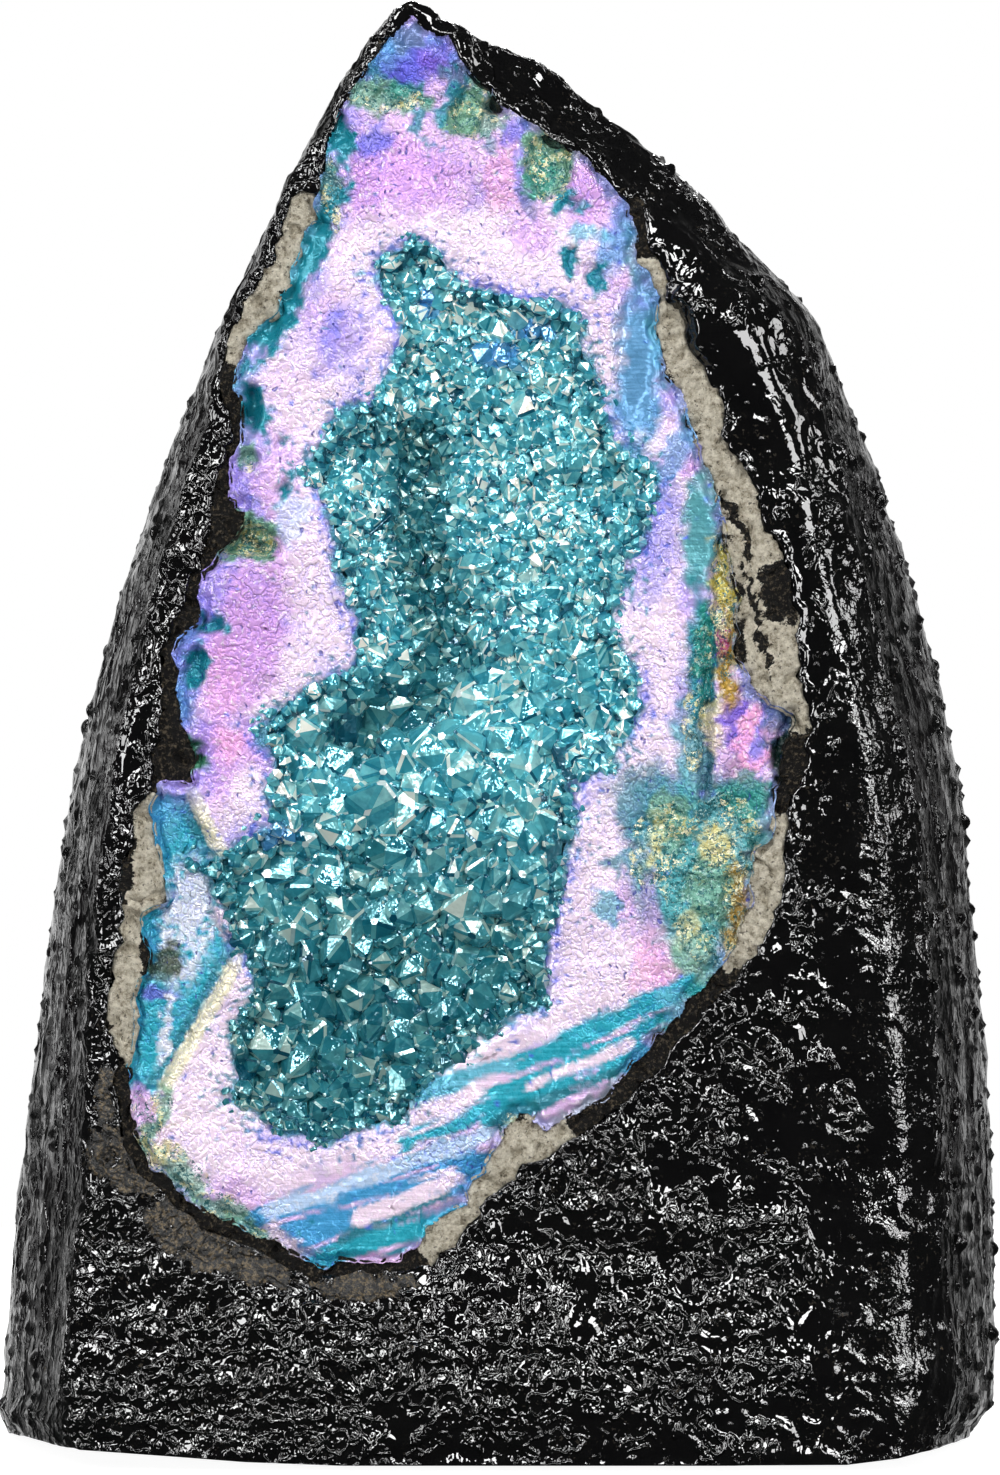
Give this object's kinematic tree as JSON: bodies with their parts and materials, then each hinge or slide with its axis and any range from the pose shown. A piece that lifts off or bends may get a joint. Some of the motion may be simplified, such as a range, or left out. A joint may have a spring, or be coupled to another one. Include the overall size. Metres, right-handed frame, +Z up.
{
  "type": "aura quartz geode",
  "caption": "Standing cut geode: pearly coated quartz rim round a hollow of teal druse crystals, bedded with mortar in a glossy black cement body with a flat base.",
  "frame": {"origin": "middle of the flat base, at the height of the surface it stands on", "axes": "+Z up, through the pointed apex; the cut face looks along -Y; +X to the right of someone who looks at the cut face"},
  "size_m": [0.1157, 0.078, 0.1618],
  "materials": {
    "black_paint": "gloss",
    "bare_mortar": "matte",
    "coated_band": "satin",
    "coated_druse": "gloss"
  },
  "bodies": {
    "root": {"cement_jacket": "black_paint", "mortar_seam": "bare_mortar", "quartz_band": "coated_band", "crystal_lining": "coated_druse"}
  },
  "joints": []
}
